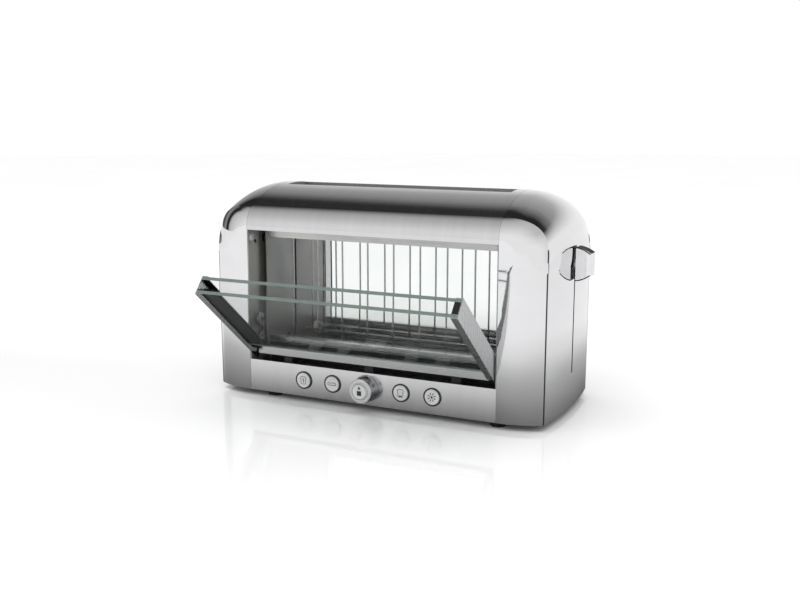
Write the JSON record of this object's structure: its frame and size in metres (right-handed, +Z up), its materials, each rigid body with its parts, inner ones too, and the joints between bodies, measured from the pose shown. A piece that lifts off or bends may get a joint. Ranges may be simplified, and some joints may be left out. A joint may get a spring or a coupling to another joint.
{
  "type": "toaster",
  "caption": "One-slot toaster with polished end caps, a brushed middle, a tilting double-glazed front window, bread lever, browning dial and push buttons.",
  "frame": {"origin": "on the table, under the middle of the whole object with its window open and lever up", "axes": "+Z up, +Y to the back, +X to the end with the lever; the window and controls face -Y"},
  "size_m": [0.3958, 0.2618, 0.221],
  "materials": {
    "polished_steel": "polished",
    "brushed_steel": "brushed along X",
    "rail_steel": "satin",
    "reflector": "bright anodised",
    "inner_steel": "satin",
    "plain_steel": "zinc plated",
    "black_paint": "matt black",
    "glass": "clear",
    "quartz": "frosted",
    "filament": "oxidised resistance alloy",
    "ceramic": "matt",
    "black_rubber": "matt",
    "black_plastic": "matt",
    "silver_plastic": "satin silver",
    "pale_plastic": "satin",
    "board": "solder mask",
    "copper": "enamelled wire",
    "spring_steel": "bright"
  },
  "bodies": {
    "housing": {"end_cap_right": "polished_steel", "end_cap_left": "polished_steel", "top_shell": "brushed_steel", "slot_collar": "inner_steel", "front_panel": "brushed_steel", "rear_panel": "brushed_steel", "cord_inlet": "black_plastic", "base_plate": "plain_steel", "feet": "black_rubber", "base_screws": "plain_steel", "chamber_walls": "inner_steel", "upper_reflectors": "reflector", "lower_reflectors": "reflector", "quartz_tubes": "quartz", "heating_filaments": "filament", "tube_holders": "ceramic", "guide_rods": "plain_steel", "guide_brackets": "plain_steel", "return_spring": "spring_steel", "latch_coil": "copper", "latch_core": "plain_steel", "window_cheeks": "inner_steel", "cheek_rivets": "plain_steel", "window_trough": "black_paint", "sill_bar": "rail_steel", "sill_brackets": "black_paint", "rear_window_frame": "rail_steel", "rear_window_panes": "glass", "button_bezels": "polished_steel", "button_switches": "black_plastic", "potentiometer": "plain_steel", "control_board": "board", "board_posts": "black_plastic", "transformer": "copper", "terminal_block": "pale_plastic", "tray_guides": "plain_steel"},
    "front_window": {"window_rail_right": "rail_steel", "window_rail_left": "rail_steel", "window_pane_outer": "glass", "window_pane_inner": "glass", "window_spacers": "black_rubber", "window_bottom_seal": "black_rubber", "window_stays": "rail_steel", "hinge_pins": "plain_steel"},
    "lever": {"bread_rack": "plain_steel", "lever_carriage": "plain_steel", "lever_stem": "plain_steel", "armature_plate": "plain_steel", "lever_knob": "polished_steel"},
    "guard_front": {"bread_guard_front": "plain_steel"},
    "guard_rear": {"bread_guard_rear": "plain_steel"},
    "tray": {"crumb_tray": "plain_steel", "tray_front": "polished_steel"},
    "dial": {"browning_knob": "silver_plastic", "knob_shaft": "plain_steel"},
    "stop": {"stop_button": "pale_plastic"},
    "one_side": {"button_one_side": "pale_plastic"},
    "bun": {"button_bun": "pale_plastic"},
    "reheat": {"button_reheat": "pale_plastic"},
    "defrost": {"button_defrost": "pale_plastic"}
  },
  "joints": [
    {"name": "window_tilt", "type": "hinge", "parent": "housing", "child": "front_window", "pos_m": [-0.0069, -0.0286, 0.05], "axis": [1, 0, 0], "range_deg": [-50, 0]},
    {"name": "lever_slide", "type": "slide", "parent": "housing", "child": "lever", "axis": [0, 0, -1], "range_m": [0, 0.104], "stiffness_N_per_m": 60, "springref_m": -0.06, "deforming": ["return_spring"]},
    {"name": "guard_front_slide", "type": "slide", "parent": "housing", "child": "guard_front", "axis": [0, 1, 0], "range_m": [0, 0.009]},
    {"name": "guard_rear_slide", "type": "slide", "parent": "housing", "child": "guard_rear", "axis": [0, -1, 0], "range_m": [0, 0.009]},
    {"name": "tray_slide", "type": "slide", "parent": "housing", "child": "tray", "axis": [-1, 0, 0], "range_m": [0, 0.27]},
    {"name": "dial_turn", "type": "hinge", "parent": "housing", "child": "dial", "pos_m": [-0.0069, -0.0436, 0.0235], "axis": [0, 1, 0], "range_deg": [-30, 240]},
    {"name": "stop_press", "type": "slide", "parent": "dial", "child": "stop", "axis": [0, 1, 0], "range_m": [0, 0.0012], "stiffness_N_per_m": 500},
    {"name": "one_side_press", "type": "slide", "parent": "housing", "child": "one_side", "axis": [0, 1, 0], "range_m": [0, 0.0015], "stiffness_N_per_m": 500},
    {"name": "bun_press", "type": "slide", "parent": "housing", "child": "bun", "axis": [0, 1, 0], "range_m": [0, 0.0015], "stiffness_N_per_m": 500},
    {"name": "reheat_press", "type": "slide", "parent": "housing", "child": "reheat", "axis": [0, 1, 0], "range_m": [0, 0.0015], "stiffness_N_per_m": 500},
    {"name": "defrost_press", "type": "slide", "parent": "housing", "child": "defrost", "axis": [0, 1, 0], "range_m": [0, 0.0015], "stiffness_N_per_m": 500}
  ],
  "couplings": [
    {"joint": "guard_front_slide", "follows": "lever_slide", "ratio": 0.08654},
    {"joint": "guard_rear_slide", "follows": "lever_slide", "ratio": 0.08654}
  ]
}
